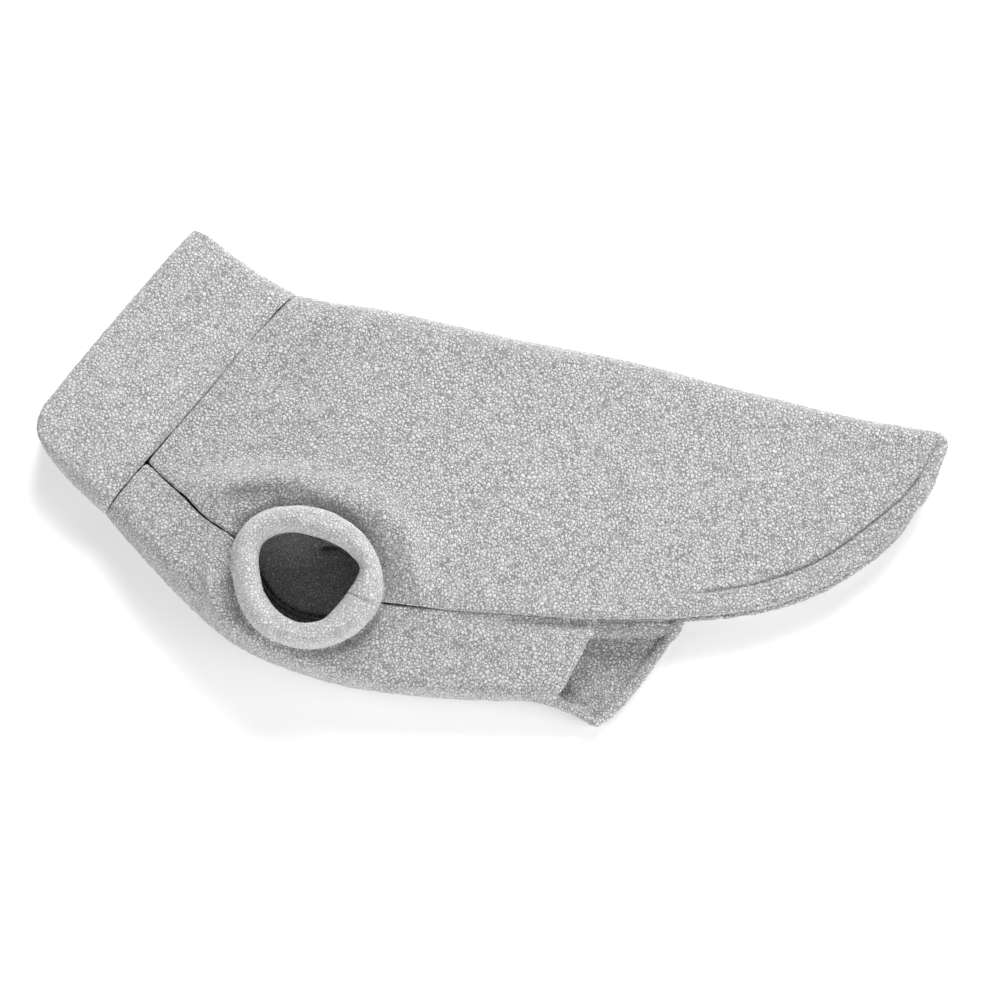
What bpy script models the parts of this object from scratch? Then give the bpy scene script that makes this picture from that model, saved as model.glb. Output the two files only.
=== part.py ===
"""A small dog's fleece pullover, lying flat on its right side.

X runs from the collar to the tail, Y from the belly to the spine, Z up. The far (right) half of the garment
lies on the ground and the near (left) half lies over it. The two halves meet in a fold along the spine and
another along the belly. All sizes are in metres.
"""
import math

import bmesh
import bpy
import numpy as np
from mathutils import Vector
from mathutils.bvhtree import BVHTree

# Overall sizes of the garment as it lies.
BODY_LENGTH = 0.317  # from the top of the neck seam to the tip of the tail, along X
BODY_DEPTH = 0.2005  # from the top of the neck seam to the belly fold, along Y
COLLAR_HEIGHT = 0.058  # neck seam to the opening edge
NECK_FOLD = 0.011  # radius of the folds at the neck, so half the height of the flattened neck
CHEST_RISE = 0.011  # how far the near half stands up round the front leg
BACK_RISE = 0.009  # and along the middle of the back
CHEST_REACH = (0.075, 0.05)  # how far each of these rises spreads along X and Y
BACK_REACH = (0.12, 0.065)
RISE_FROM_NECK = 0.03  # from the neck seam to where they are full

# Cloth and sewing.
FLEECE = 0.0035  # one layer of fleece
PLY_GAP = 0.0006  # between the two layers of a folded band
SEAM_GAP = 0.0005  # between two pieces that are sewn edge to edge
SEAM_LAP = 0.002  # how far the belly panel runs in under the back panel's edge
TAIL_FOLD = 2 * FLEECE + SEAM_GAP  # radius of the folds at the tip of the tail, where four layers can meet
THREAD_RADIUS = 0.0005
THREAD_CLEARANCE = 0.0009  # from a thread to the cloth that it is sewn to
SEAM_ALLOWANCE = 0.004  # from a cut edge to the thread inside it
HEM_WIDTH = 0.012

# Leg cuffs.
CUFF_LENGTH = 0.072  # outside, along X
CUFF_DEPTH = 0.067  # outside, along Y
CUFF_BAND = 0.012  # width of the rolled band
LEFT_CUFF_ABOVE_FOLD = 0.01137  # from the belly fold up to the cuff's lower edge, along Y
RIGHT_CUFF_ABOVE_FOLD = 0.03246
CUFF_STANDS = 0.014  # near cuff's top above the cloth round it
CUFF_SINKS = 0.009  # near cuff's base below the outside of that cloth

# Places on the plan, as shares of BODY_LENGTH to the right of the top of the neck seam and of BODY_DEPTH below it.
SPINE = [(0, 0), (0.044, 0.015), (0.196, 0.06), (0.372, 0.12), (0.55, 0.18), (0.732, 0.254), (0.858, 0.302),
         (1.0, 0.342)]
BACK_EDGE = [(-0.224, 0.4232), (-0.167, 0.511), (-0.112, 0.588), (0.02, 0.71), (0.134, 0.771), (0.233, 0.79),
             (0.385, 0.803), (0.467, 0.808), (0.59, 0.803), (0.703, 0.781), (0.808, 0.723), (0.893, 0.633),
             (0.953, 0.542)]
TAIL_END = [(1.0, 0.342), (1.004, 0.374), (0.99, 0.432), (0.975, 0.487), (0.953, 0.542)]
BELLY = [(-0.289, 0.546), (-0.215, 0.678), (-0.136, 0.803), (-0.066, 0.883), (0.041, 0.946), (0.138, 0.978),
         (0.309, 0.998), (0.401, 1.0)]
BELLY_TIP = (0.462, 1.055)  # where the belly fold ends on the far half
NEAR_BELLY_END = [(0.467, 0.808), (0.447, 0.868), (0.423, 0.943), (0.401, 1.0)]
FAR_BELLY_END = [(0.603, 0.8), (0.555, 0.9), (0.51, 0.993), (0.462, 1.055)]
CHEST_TOP = (0.04, 0.64)
BACK_TOP = (0.3, 0.58)

# Shape of the flattened collar: shares of the neck seam's length along it, and of COLLAR_HEIGHT away from it.
COLLAR_TOP = [(0.0, 0.0), (0.03, 0.45), (0.038, 0.86)]
COLLAR_BOTTOM = [(1.0, 0.0), (0.992, 0.4), (0.968, 0.75)]
COLLAR_OPENING = [(0.038, 0.86), (0.05, 0.97), (0.09, 1.02), (0.42, 1.02), (0.8, 0.99), (0.89, 0.95),
                  (0.945, 0.86), (0.968, 0.75)]

NEAR, FAR = 1, -1
SHARP_EDGE = math.radians(50)
BODY_GREY, BAND_GREY, THREAD_GREY = (0.56, 0.56, 0.57), (0.62, 0.62, 0.63), (0.45, 0.45, 0.46)
ROUND_STEPS = 28  # sides of a leg cuff
CLOSING_STEP = 26  # which of them holds the seam that closes the cuff's strip


def clear_scene():
    for o in list(bpy.data.objects):
        bpy.data.objects.remove(o, do_unlink=True)


def place(share):
    """A plan point in metres from its shares."""
    return np.array([share[0] * BODY_LENGTH, -share[1] * BODY_DEPTH])


def curve_through(points, at):
    """Points on a smooth curve through the given ones, at shares from 0 to 1 of its length."""
    p = np.array(points, float)
    p = np.vstack([2 * p[0] - p[1], p, 2 * p[-1] - p[-2]])
    fine = []
    for i in range(1, len(p) - 2):
        for t in np.linspace(0, 1, 24, endpoint=i == len(p) - 3):
            a, b, c, d = p[i - 1:i + 3]
            fine.append(0.5 * (2 * b + (c - a) * t + (2 * a - 5 * b + 4 * c - d) * t * t
                               + (3 * b - a - 3 * c + d) * t ** 3))
    fine = np.array(fine)
    run = np.concatenate([[0], np.cumsum(np.linalg.norm(np.diff(fine, axis=0), axis=1))])
    at = np.atleast_1d(at) * run[-1]
    return np.stack([np.interp(at, run, fine[:, k]) for k in range(fine.shape[1])], axis=1)


def share_along(points, target):
    """How far along the curve, from 0 to 1, its nearest point to the target lies."""
    at = np.linspace(0, 1, 400)
    return float(at[np.argmin(np.linalg.norm(curve_through(points, at) - target, axis=1))])


SPINE_LINE = [place(s) for s in SPINE]
BACK_LINE = [place(s) for s in BACK_EDGE]
TAIL_LINE = [place(s) for s in TAIL_END]
BELLY_LINE = [place(s) for s in BELLY]
NECK_TOP, NECK_BOTTOM = SPINE_LINE[0], BELLY_LINE[0]


def leg_opening(share_of_length, above_fold):
    """The middle of a leg opening on the plan. Its cuff's lower edge lies so far above the belly fold."""
    fold = curve_through(BELLY_LINE, np.linspace(0, 1, 400))
    x = place((share_of_length, 0))[0]
    return np.array([x, np.interp(x, fold[:, 0], fold[:, 1]) + above_fold + CUFF_DEPTH / 2])


LEFT_LEG = leg_opening(0.028, LEFT_CUFF_ABOVE_FOLD)
RIGHT_LEG = leg_opening(0.054, RIGHT_CUFF_ABOVE_FOLD)
NECK_LENGTH = float(np.linalg.norm(NECK_BOTTOM - NECK_TOP))
ALONG_NECK = (NECK_BOTTOM - NECK_TOP) / NECK_LENGTH
INTO_BODY = np.array([-ALONG_NECK[1], ALONG_NECK[0]])
TAIL_REACH = float((SPINE_LINE[-1] - NECK_TOP) @ INTO_BODY)
FOLD_LINES = np.vstack([curve_through(SPINE_LINE, np.linspace(0, 1, 300)),
                        curve_through(BELLY_LINE + [place(BELLY_TIP)], np.linspace(0, 1, 300))])


def smooth(t):
    t = np.clip(t, 0, 1)
    return t * t * (3 - 2 * t)


def hill(xy, centre, reach):
    away = (np.asarray(xy) - place(centre)) / np.array(reach)
    return np.exp(-(away ** 2).sum(-1))


def fold_radius(xy):
    reach = (np.asarray(xy) - NECK_TOP) @ INTO_BODY / TAIL_REACH
    return NECK_FOLD + (TAIL_FOLD - NECK_FOLD) * smooth(reach)


def outside_height(xy, side):
    """Height of the garment's outside over a plan point, on its near or far half."""
    from_fold = np.linalg.norm(FOLD_LINES[None] - xy[:, None], axis=2).min(1)
    radius = fold_radius(xy)
    rounding = np.sqrt(1 - (1 - np.clip(from_fold / radius, 0, 1)) ** 2)
    if side == FAR:
        return radius * (1 - rounding)
    from_neck = (xy - NECK_TOP) @ INTO_BODY
    rise = CHEST_RISE * hill(xy, CHEST_TOP, CHEST_REACH) + BACK_RISE * hill(xy, BACK_TOP, BACK_REACH)
    return radius + (radius + rise * smooth(from_neck / RISE_FROM_NECK)) * rounding


def patch(south, north, west, east, u, v):
    """Plan point (u, v) of the four-sided area between four curves; v runs from south to north."""
    s, n = south(u), north(u)
    w, e = west(v), east(v)
    u, v = np.asarray(u)[:, None], np.asarray(v)[:, None]
    corners = ((1 - u) * (1 - v) * west([0.0]) + u * (1 - v) * east([0.0])
               + (1 - u) * v * west([1.0]) + u * v * east([1.0]))
    return (1 - v) * s + v * n + (1 - u) * w + u * e - corners


def add_object(name, data, colour):
    o = bpy.data.objects.new(name, data)
    bpy.context.scene.collection.objects.link(o)
    material = bpy.data.materials.new(name)
    material.use_nodes = True
    shader = material.node_tree.nodes["Principled BSDF"]
    shader.inputs["Base Color"].default_value = (*colour, 1)
    shader.inputs["Roughness"].default_value = 0.95
    shader.inputs["Metallic"].default_value = 0.0
    data.materials.append(material)
    return o


def finish_mesh(name, bm, colour):
    """The object of a closed bmesh, with its faces turned outwards."""
    bmesh.ops.recalc_face_normals(bm, faces=bm.faces)
    mesh = bpy.data.meshes.new(name)
    bm.to_mesh(mesh)
    bm.free()
    mesh.shade_smooth()
    mesh.set_sharp_from_angle(angle=SHARP_EDGE)
    return add_object(name, mesh, colour)


def band_solid(name, rings, colour):
    """One closed band from loops of points; the last loop is joined to the first."""
    bm = bmesh.new()
    rows = [[bm.verts.new(p) for p in ring] for ring in rings]
    for a, b in zip(rows, rows[1:] + rows[:1]):
        for i in range(len(a)):
            j = (i + 1) % len(a)
            bm.faces.new((a[i], a[j], b[j], b[i]))
    return finish_mesh(name, bm, colour)


def inward(grid, closed_rows):
    """Unit normals of a grid of points, pointing into the garment. closed_rows means each row is a loop.

    Every row starts on the near half, whose inside is below it.
    """
    along = np.gradient(grid, axis=0)
    if closed_rows:
        across = (np.roll(grid, -1, 1) - np.roll(grid, 1, 1)) / 2
    else:
        across = np.gradient(grid, axis=1)
    n = np.cross(along, across)
    near_column = 4 if closed_rows else 0
    if n[len(n) // 2, near_column, 2] > 0:
        n = -n
    return n / np.linalg.norm(n, axis=2, keepdims=True)


def cloth(name, grid, colour):
    """A panel of one layer of fleece, whose outside is the grid of points."""
    inner = grid + inward(grid, False) * FLEECE
    bm = bmesh.new()
    out = [[bm.verts.new(p) for p in row] for row in grid]
    back = [[bm.verts.new(p) for p in row] for row in inner]
    n, m = len(out), len(out[0])
    for i in range(n - 1):
        for j in range(m - 1):
            bm.faces.new((out[i][j], out[i][j + 1], out[i + 1][j + 1], out[i + 1][j]))
            bm.faces.new((back[i][j], back[i + 1][j], back[i + 1][j + 1], back[i][j + 1]))
    edge = ([(i, 0) for i in range(n)] + [(n - 1, j) for j in range(1, m)]
            + [(i, m - 1) for i in range(n - 2, -1, -1)] + [(0, j) for j in range(m - 2, 0, -1)])
    for (a, b), (c, d) in zip(edge, edge[1:] + edge[:1]):
        bm.faces.new((out[a][b], out[c][d], back[c][d], back[a][b]))
    return finish_mesh(name, bm, colour)


def distances_from_fold(radius, width, arc_steps, flat_steps, tight_end=()):
    """Distances across a half of the garment: close together round the fold, then even to the far edge."""
    arc = radius * (1 - np.cos(np.linspace(0, math.pi / 2, arc_steps + 1)))
    flat = np.linspace(arc[-1], width - sum(tight_end), flat_steps + 1)[1:]
    ends = [flat[-1] + sum(tight_end[:k + 1]) for k in range(len(tight_end))]
    return np.concatenate([arc, flat, ends])


def back_panel():
    """One piece from the near lower edge, over the spine fold, to the far lower edge."""
    def south(u):
        return curve_through(BACK_LINE, u)

    def north(u):
        return curve_through(SPINE_LINE, u)

    def west(v):
        return BACK_LINE[0] + np.asarray(v)[:, None] * (NECK_TOP - BACK_LINE[0])

    def east(v):
        return curve_through(TAIL_LINE[::-1], v)

    grid = []
    for u in np.linspace(0, 1, 30):
        width = float(np.linalg.norm(north([u]) - south([u])))
        radius = float(fold_radius(north([u]))[0])
        d = distances_from_fold(radius, width, 4, 8)
        rows = {}
        for side in (NEAR, FAR):
            xy = patch(south, north, west, east, np.full(len(d), u), 1 - d / width)
            rows[side] = np.column_stack([xy, outside_height(xy, side)])
            rows[side][0, 2] = radius
        grid.append(np.vstack([rows[NEAR][::-1], rows[FAR][1:]]))
    return cloth("back_panel", np.array(grid), BODY_GREY)


def lap_share(along):
    """0 along the shoulder seam, where the edges meet, and 1 along the side seam, where they lap."""
    start = share_along(BACK_LINE, place((-0.05, 0.65)))
    end = share_along(BACK_LINE, place((0.09, 0.75)))
    return smooth((along - start) / (end - start))


def chest_belly_panel():
    """One piece from the near seam, round the belly fold, to the far seam."""
    near_end = share_along(BACK_LINE, place(NEAR_BELLY_END[0]))
    far_end = share_along(BACK_LINE, place(FAR_BELLY_END[0]))
    far_fold = BELLY_LINE + [place(BELLY_TIP)]
    ends = {NEAR: NEAR_BELLY_END, FAR: FAR_BELLY_END}
    reach = {NEAR: near_end, FAR: far_end}
    folds = {NEAR: BELLY_LINE, FAR: far_fold}

    def edges(side):
        def seam(u):
            u = np.asarray(u, float)
            at = reach[side] * u
            p = curve_through(BACK_LINE, at)
            step = curve_through(BACK_LINE, np.clip(at + 0.01, 0, 1)) - curve_through(
                BACK_LINE, np.clip(at - 0.01, 0, 1))
            outward = np.column_stack([step[:, 1], -step[:, 0]])
            outward /= np.linalg.norm(outward, axis=1, keepdims=True)
            lap = lap_share(at)
            return p + outward * (SEAM_GAP - lap * (SEAM_GAP + SEAM_LAP))[:, None]

        def fold(u):
            return curve_through(folds[side], u)

        def neck(v):
            return seam([0.0]) + np.asarray(v)[:, None] * (fold([0.0]) - seam([0.0]))

        end_line = [seam([1.0])[0]] + [place(s) for s in ends[side][1:]]

        def rear(v):
            return curve_through(end_line, v)

        return seam, fold, neck, rear

    grid = []
    for u in np.linspace(0, 1, 22):
        rows = {}
        for side in (NEAR, FAR):
            seam, fold, neck, rear = edges(side)
            width = float(np.linalg.norm(fold([u]) - seam([u])))
            radius = float(fold_radius(fold([u]))[0])
            d = distances_from_fold(radius, width, 4, 4, (0.008, SEAM_LAP + 0.001))
            xy = patch(seam, fold, neck, rear, np.full(len(d), u), 1 - d / width)
            lap = lap_share(reach[side] * u) * (FLEECE + SEAM_GAP)
            under = lap * (1 - smooth((width - d - SEAM_LAP - 0.001) / 0.009))
            z = outside_height(xy, side) - side * under
            z[0] = radius
            rows[side] = np.column_stack([xy, z])
        arc = len(rows[NEAR])
        turn = np.linspace(0, math.pi / 2, 5)
        for k in range(5):
            share = (1 + math.sin(turn[k])) / 2
            near, far = rows[NEAR][k, :2].copy(), rows[FAR][k, :2].copy()
            rows[NEAR][k, :2] = share * near + (1 - share) * far
            rows[FAR][k, :2] = share * far + (1 - share) * near
        grid.append(np.vstack([rows[NEAR][:arc][::-1], rows[FAR][1:arc]]))
    return cloth("chest_belly_panel", np.array(grid), BODY_GREY)


def collar_plan(share):
    return NECK_TOP + share[0] * NECK_LENGTH * ALONG_NECK - share[1] * COLLAR_HEIGHT * INTO_BODY


def collar():
    """A band folded double along its opening edge, so its two plies are joined there and open at the seam."""
    gap = SEAM_GAP / COLLAR_HEIGHT
    top = [collar_plan((a, max(n, gap))) for a, n in COLLAR_TOP]
    bottom = [collar_plan((a, max(n, gap))) for a, n in COLLAR_BOTTOM]
    opening = [collar_plan(s) for s in COLLAR_OPENING]

    def loop(w):
        """The band's outside round the neck, at a share w of the way to the opening."""
        start, end = curve_through(top, [w])[0], curve_through(bottom, [w])[0]
        width = float(np.linalg.norm(end - start))
        arc = NECK_FOLD * (1 - np.cos(np.linspace(0, math.pi / 2, 4)))
        d = np.concatenate([arc, np.linspace(NECK_FOLD, width - NECK_FOLD, 8)[1:-1], width - arc[::-1]])
        xy = patch(lambda u: curve_through(top, u), lambda u: curve_through(bottom, u),
                   lambda v: top[0] + np.asarray(v)[:, None] * (bottom[0] - top[0]),
                   lambda v: curve_through(opening, v), np.full(len(d), w), d / width)
        from_fold = np.minimum(d, width - d)
        rounding = np.sqrt(np.maximum(0, 1 - (1 - np.clip(from_fold / NECK_FOLD, 0, 1)) ** 2))
        near = np.column_stack([xy, NECK_FOLD * (1 + rounding)])
        far = np.column_stack([xy, NECK_FOLD * (1 - rounding)])
        return np.vstack([near, far[-2:0:-1]])

    band = 2 * FLEECE + PLY_GAP
    last = 1 - band / 2 / COLLAR_HEIGHT
    shares = [0.0, 0.3 * last, 0.6 * last, 0.85 * last, last]
    outside = np.array([loop(w) for w in shares])
    towards = inward(outside, True)
    axis = np.array([*-INTO_BODY, 0.0])
    edge = outside[-1]
    round_edge = [edge + towards[-1] * band * k + axis * band * r for k, r in ((0.15, 0.36), (0.5, 0.5),
                                                                              (0.85, 0.36))]
    rings = list(outside) + round_edge
    rings += [outside[i] + towards[i] * band for i in range(len(shares) - 1, -1, -1)]
    rings += [outside[i] + towards[i] * (FLEECE + PLY_GAP) for i in range(len(shares) - 1)]
    rings += [outside[i] + towards[i] * FLEECE for i in range(len(shares) - 2, -1, -1)]
    band_solid("collar", rings, BAND_GREY)


def oval(centre, length, depth, grow=0.0):
    turn = np.arange(ROUND_STEPS) * 2 * math.pi / ROUND_STEPS
    return centre + np.column_stack([(length / 2 + grow) * np.cos(turn), (depth / 2 + grow) * np.sin(turn)])


def cuff_seat():
    """Height of the near half's outside round the left armhole, as a tilted plane: z = a + b x + c y."""
    rim = oval(LEFT_LEG, CUFF_LENGTH, CUFF_DEPTH)
    z = outside_height(rim, NEAR)
    level, *_ = np.linalg.lstsq(np.column_stack([np.ones(len(rim)), rim]), z, rcond=None)
    return level


def left_leg_cuff():
    """The band stands up from the armhole and is folded double over its top."""
    level = cuff_seat()
    half = CUFF_BAND / 2
    top, low = CUFF_STANDS, -CUFF_SINKS
    bend = half * 0.7
    profile = [(0, low), (0, top - half), (half - bend, top - half + bend), (half, top),
               (half + bend, top - half + bend), (CUFF_BAND, top - half), (CUFF_BAND, low),
               (CUFF_BAND - FLEECE, low), (CUFF_BAND - FLEECE, top - half), (half, top - FLEECE),
               (FLEECE, top - half), (FLEECE, low)]
    rings = []
    for inset, up in profile:
        rim = oval(LEFT_LEG, CUFF_LENGTH, CUFF_DEPTH, -inset)
        rings.append(np.column_stack([rim, level[0] + rim @ level[1:] + up]))
    band_solid("left_leg_cuff", rings, BAND_GREY)


def right_leg_cuff():
    """The same band pressed flat on the ground: its plies lie one on the other, joined at the leg opening."""
    thick = 2 * FLEECE + PLY_GAP
    profile = [(0, 0), (CUFF_BAND - thick / 2, 0), (CUFF_BAND - thick * 0.15, thick * 0.15),
               (CUFF_BAND, thick / 2), (CUFF_BAND - thick * 0.15, thick * 0.85), (CUFF_BAND - thick / 2, thick),
               (0, thick), (0, FLEECE + PLY_GAP), (CUFF_BAND - thick / 2, FLEECE + PLY_GAP),
               (CUFF_BAND - thick / 2, FLEECE), (0, FLEECE)]
    rings = []
    for inset, up in profile:
        rim = oval(RIGHT_LEG, CUFF_LENGTH, CUFF_DEPTH, -inset)
        rings.append(np.column_stack([rim, np.full(len(rim), up)]))
    band_solid("right_leg_cuff", rings, BAND_GREY)


def cut_armhole(panels, name, centre, low, high):
    """Cuts a leg's oval, with clearance for its cuff, out of both panels."""
    rim = oval(centre, CUFF_LENGTH, CUFF_DEPTH, SEAM_GAP)
    bm = bmesh.new()
    bottom = bm.faces.new([bm.verts.new((x, y, low)) for x, y in rim])
    top = bmesh.ops.extrude_face_region(bm, geom=[bottom])
    moved = [g for g in top["geom"] if isinstance(g, bmesh.types.BMVert)]
    bmesh.ops.translate(bm, vec=(0, 0, high - low), verts=moved)
    bmesh.ops.recalc_face_normals(bm, faces=bm.faces)
    mesh = bpy.data.meshes.new(name)
    bm.to_mesh(mesh)
    bm.free()
    cutter = bpy.data.objects.new(name, mesh)
    cutter.hide_render = True
    cutter.display_type = "WIRE"
    bpy.context.scene.collection.objects.link(cutter)
    for panel in panels:
        cut = panel.modifiers.new(name, "BOOLEAN")
        cut.operation = "DIFFERENCE"
        cut.solver = "EXACT"
        cut.object = cutter
    return cutter


def inside_heights(tree, xy, side):
    """Height of the cloth's inner face over plan points, seen from between the two halves."""
    start = 2 * FLEECE + SEAM_GAP + THREAD_CLEARANCE
    return [tree.ray_cast(Vector((x, y, start)), Vector((0, 0, side)), 0.1)[0].z for x, y in xy]


def sewn_inside(tree, xy, side):
    """A thread's path along the inner face, clear of any step in the cloth beside it."""
    heights = inside_heights(tree, xy, side)
    clear = THREAD_CLEARANCE + THREAD_RADIUS
    path = []
    for k, (x, y) in enumerate(xy):
        around = [heights[i % len(heights)] for i in (k - 1, k, k + 1)]
        path.append((x, y, min(around) - clear if side == NEAR else max(around) + clear))
    return path


def thread(name, path, closed=False):
    """A seam's thread: one thin tube along its path."""
    data = bpy.data.curves.new(name, "CURVE")
    data.dimensions = "3D"
    data.bevel_depth = THREAD_RADIUS
    data.bevel_resolution = 1
    data.use_fill_caps = True
    spline = data.splines.new("POLY")
    spline.points.add(len(path) - 1)
    for point, xyz in zip(spline.points, path):
        point.co = (*xyz, 1)
    spline.use_cyclic_u = closed
    add_object(name, data, THREAD_GREY)


def beside(line, start, end, away, count):
    """Plan points along part of a curve, moved sideways to its left by away."""
    at = start + (end - start) * np.linspace(0, 1, count)
    p = curve_through(line, at)
    step = curve_through(line, np.clip(at + 0.004, 0, 1)) - curve_through(line, np.clip(at - 0.004, 0, 1))
    left = np.column_stack([-step[:, 1], step[:, 0]])
    return p + left / np.linalg.norm(left, axis=1, keepdims=True) * away


def neck_and_shoulder_threads(tree):
    inset = NECK_TOP + INTO_BODY * SEAM_ALLOWANCE
    round_neck = [inset + ALONG_NECK * a for a in np.linspace(1.2 * NECK_FOLD, NECK_LENGTH - 1.2 * NECK_FOLD, 9)]
    near, far = (sewn_inside(tree, round_neck, side) for side in (NEAR, FAR))
    thread("collar_seam_thread", near + far[::-1], closed=True)
    start = share_along(BACK_LINE, BACK_LINE[0] + INTO_BODY * 2 * SEAM_ALLOWANCE)
    for hand, leg, side in (("left", LEFT_LEG, NEAR), ("right", RIGHT_LEG, FAR)):
        end = first_in_armhole(leg)
        line = beside(BACK_LINE, start, end, 0.001, 7)
        thread(f"{hand}_shoulder_seam_thread", sewn_inside(tree, line, side))


def in_armhole(xy, leg, grow):
    away = (xy - leg) / (CUFF_LENGTH / 2 + grow, CUFF_DEPTH / 2 + grow)
    return (away ** 2).sum(-1) < 1


def first_in_armhole(leg):
    """Share of the back panel's edge where a seam's thread stops short of the armhole."""
    at = np.linspace(0, 1, 400)
    return float(at[in_armhole(curve_through(BACK_LINE, at), leg, 2 * SEAM_ALLOWANCE)][0])


def last_in_armhole(leg):
    at = np.linspace(0, 1, 400)
    return float(at[in_armhole(curve_through(BACK_LINE, at), leg, 2 * SEAM_ALLOWANCE)][-1])


def side_and_armhole_threads(tree):
    for hand, leg, side, end_line in (("left", LEFT_LEG, NEAR, NEAR_BELLY_END),
                                      ("right", RIGHT_LEG, FAR, FAR_BELLY_END)):
        end = share_along(BACK_LINE, place(end_line[0])) - 0.01
        line = beside(BACK_LINE, last_in_armhole(leg), end, SEAM_LAP / 2, 12)
        thread(f"{hand}_side_seam_thread", sewn_inside(tree, line, side))
        ring = oval(leg, CUFF_LENGTH, CUFF_DEPTH, SEAM_ALLOWANCE / 2)
        thread(f"{hand}_armhole_seam_thread", sewn_inside(tree, ring, side), closed=True)


def belly_hem(line):
    """Plan points of the belly panel's hem, kept clear of the side seam and of the belly fold."""
    line = [place(s) for s in line]
    seam, fold = (curve_through(edge, np.linspace(0, 1, 200)) for edge in (BACK_LINE, BELLY_LINE))
    at = np.linspace(0.15, 0.7, 23)
    fine = beside(line, 0.15, 0.7, -HEM_WIDTH, len(at))
    from_seam, from_fold = (np.linalg.norm(fine[:, None] - edge[None], axis=2).min(axis=1) for edge in (seam, fold))
    clear = (from_seam > SEAM_ALLOWANCE) & (from_fold > SEAM_ALLOWANCE + FLEECE)
    return beside(line, at[clear][0], at[clear][-1], -HEM_WIDTH, 6)


def hem_threads(tree):
    hem_line = curve_through(BACK_LINE, np.linspace(0, 1, 200))
    ends = {side: share_along(BACK_LINE, place(line[0])) + 0.02
            for side, line in ((NEAR, NEAR_BELLY_END), (FAR, FAR_BELLY_END))}
    tail = curve_through(TAIL_LINE, np.linspace(1, 0, 40))[1:]
    whole = np.vstack([hem_line, tail])
    length = np.linalg.norm(np.diff(whole, axis=0), axis=1).sum()
    back_share = np.linalg.norm(np.diff(hem_line, axis=0), axis=1).sum() / length
    last = 1 - 2 * TAIL_FOLD / length
    near, far = (sewn_inside(tree, beside(whole, ends[side] * back_share, last, HEM_WIDTH, 20), side)
                 for side in (NEAR, FAR))
    thread("back_hem_thread", near + far[::-1])
    near, far = (sewn_inside(tree, belly_hem(line), side)
                 for side, line in ((NEAR, NEAR_BELLY_END), (FAR, FAR_BELLY_END)))
    thread("belly_hem_thread", near + far[::-1])


def closing_threads():
    """The seams that close the collar's strip and each cuff's strip into a ring."""
    band = 2 * FLEECE + PLY_GAP
    lift = band + THREAD_CLEARANCE + THREAD_RADIUS
    along = [collar_plan((0.88, n)) for n in np.linspace(0.1, 0.85, 4)]
    thread("collar_closing_thread", [(*p, lift) for p in along])
    level = cuff_seat()
    side_of_band = oval(LEFT_LEG, CUFF_LENGTH, CUFF_DEPTH, -CUFF_BAND / 2)[CLOSING_STEP]
    base = level[0] + side_of_band @ level[1:]
    rise = np.linspace(-CUFF_SINKS + THREAD_CLEARANCE, CUFF_STANDS - FLEECE - 2 * THREAD_CLEARANCE, 4)
    thread("left_cuff_closing_thread", [(*side_of_band, base + z) for z in rise])
    inner = oval(RIGHT_LEG, CUFF_LENGTH, CUFF_DEPTH, -CUFF_BAND + band / 2)[CLOSING_STEP]
    outer = oval(RIGHT_LEG, CUFF_LENGTH, CUFF_DEPTH, -THREAD_CLEARANCE)[CLOSING_STEP]
    across = [inner + (outer - inner) * k for k in np.linspace(0, 1, 3)]
    thread("right_cuff_closing_thread", [(*p, lift) for p in across])


def surface_tree(objects):
    """The panels' faces, to find where the threads lie against them."""
    points, faces = [], []
    for o in objects:
        start = len(points)
        points += [v.co.copy() for v in o.data.vertices]
        faces += [[start + i for i in f.vertices] for f in o.data.polygons]
    return BVHTree.FromPolygons(points, faces)


def stand_on_origin(cutters):
    """Moves the whole model so that its box stands on z = 0 with its middle over the origin; returns the move."""
    depsgraph = bpy.context.evaluated_depsgraph_get()
    points = []
    for o in bpy.data.objects:
        if o not in cutters:
            mesh = o.evaluated_get(depsgraph).to_mesh()
            points += [v.co.copy() for v in mesh.vertices]
    low = Vector([min(p[k] for p in points) for k in range(3)])
    high = Vector([max(p[k] for p in points) for k in range(3)])
    shift = Vector((-(low.x + high.x) / 2, -(low.y + high.y) / 2, -low.z))
    for o in bpy.data.objects:
        o.location = shift
    return shift


def build():
    clear_scene()
    back, belly = back_panel(), chest_belly_panel()
    tree = surface_tree((back, belly))
    collar()
    left_leg_cuff()
    right_leg_cuff()
    neck_and_shoulder_threads(tree)
    side_and_armhole_threads(tree)
    hem_threads(tree)
    closing_threads()
    between = 2 * TAIL_FOLD
    cutters = [cut_armhole((back, belly), "left_armhole", LEFT_LEG, between, between + BODY_DEPTH),
               cut_armhole((back, belly), "right_armhole", RIGHT_LEG, -between, between)]
    return stand_on_origin(cutters)


SHIFT = build()
neck_middle = NECK_TOP + ALONG_NECK * NECK_LENGTH / 2
print("moved by", [round(c, 5) for c in SHIFT],
      "neck seam middle", [round(float(c + s), 5) for c, s in zip(neck_middle, SHIFT)],
      "its direction", [round(float(c), 5) for c in -ALONG_NECK])
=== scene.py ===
import math

import bmesh
import bpy
import numpy as np
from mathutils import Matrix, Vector, kdtree, noise


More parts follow.
